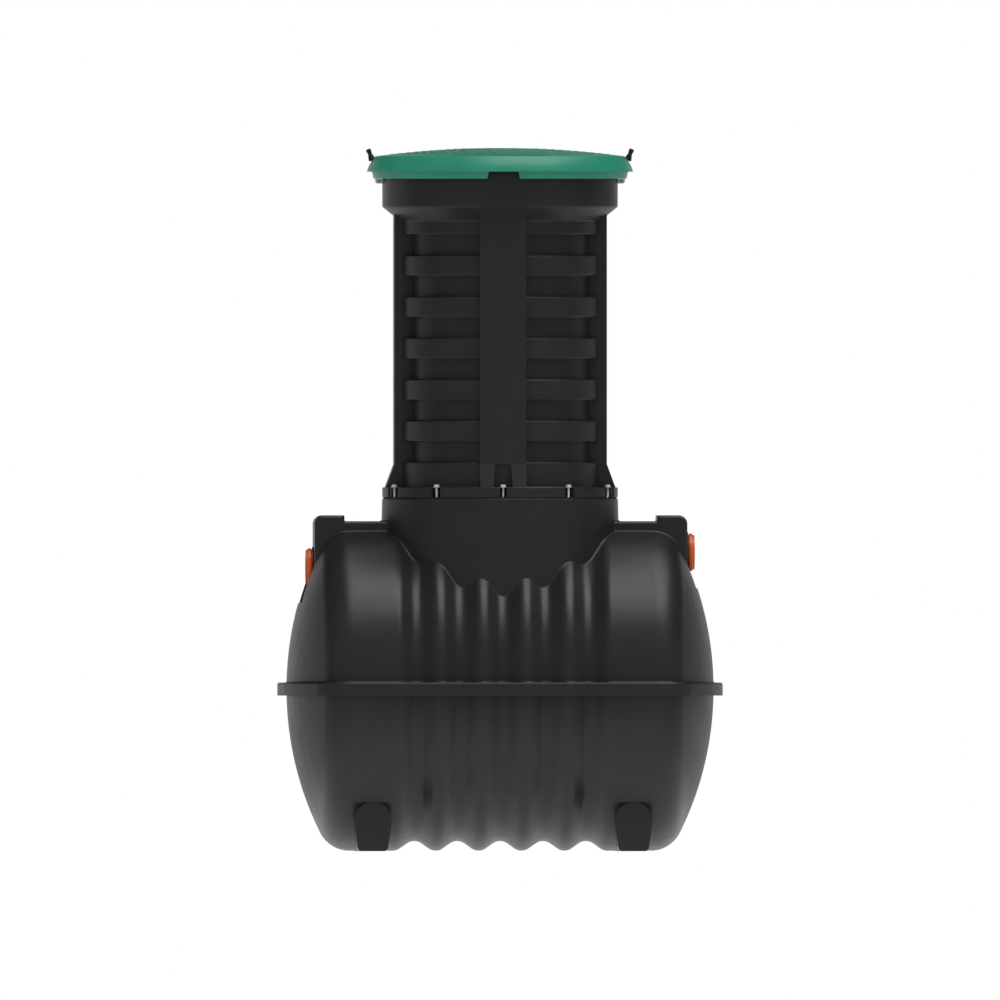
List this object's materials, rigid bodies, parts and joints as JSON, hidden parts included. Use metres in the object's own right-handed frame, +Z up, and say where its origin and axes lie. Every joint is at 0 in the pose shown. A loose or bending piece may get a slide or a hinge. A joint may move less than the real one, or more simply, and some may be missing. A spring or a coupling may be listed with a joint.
{
  "type": "septic tank",
  "caption": "Lying corrugated plastic tank in two flanged halves, with feet, end pipe sockets, a bolted ribbed riser and a domed lift-off lid.",
  "frame": {"origin": "on the ground, under the middle of the tank", "axes": "+X along the tank towards the inlet, +Y to the back, +Z up"},
  "size_m": [1.5144, 1.162, 2.391],
  "materials": {
    "tank_plastic": "black moulded polyethylene, satin",
    "lid_plastic": "green moulded polyethylene, satin",
    "seal_rubber": "black rubber",
    "screw_plastic": "black plastic",
    "clip_plastic": "grey plastic",
    "pipe_plastic": "orange-brown sewer pipe plastic"
  },
  "bodies": {
    "root": {"lower_bottom": "tank_plastic", "lower_front_side": "tank_plastic", "lower_back_side": "tank_plastic", "lower_inlet_end": "tank_plastic", "lower_outlet_end": "tank_plastic", "upper_front_side": "tank_plastic", "upper_back_side": "tank_plastic", "upper_inlet_end": "tank_plastic", "upper_outlet_end": "tank_plastic", "neck": "tank_plastic", "riser_base": "tank_plastic", "riser_front_wall": "tank_plastic", "riser_back_wall": "tank_plastic", "riser_left_wall": "tank_plastic", "riser_right_wall": "tank_plastic", "riser_head": "tank_plastic", "shell_seal": "seal_rubber", "neck_seal": "seal_rubber", "lock_clip_left": "clip_plastic", "lock_clip_right": "clip_plastic", "inlet_socket": "pipe_plastic", "outlet_socket": "pipe_plastic", "inlet_socket_ring": "seal_rubber", "outlet_socket_ring": "seal_rubber", "inlet_grommet": "seal_rubber", "outlet_grommet": "seal_rubber", "inlet_dip_tee": "pipe_plastic", "outlet_dip_tee": "pipe_plastic"},
    "lid": {"lid": "lid_plastic", "lid_seal": "seal_rubber", "lock_screw_left": "screw_plastic", "lock_screw_right": "screw_plastic"}
  },
  "joints": [
    {"name": "lid_lift", "type": "slide", "parent": "root", "child": "lid", "axis": [0, 0, 1], "range_m": [0, 0.6]}
  ]
}
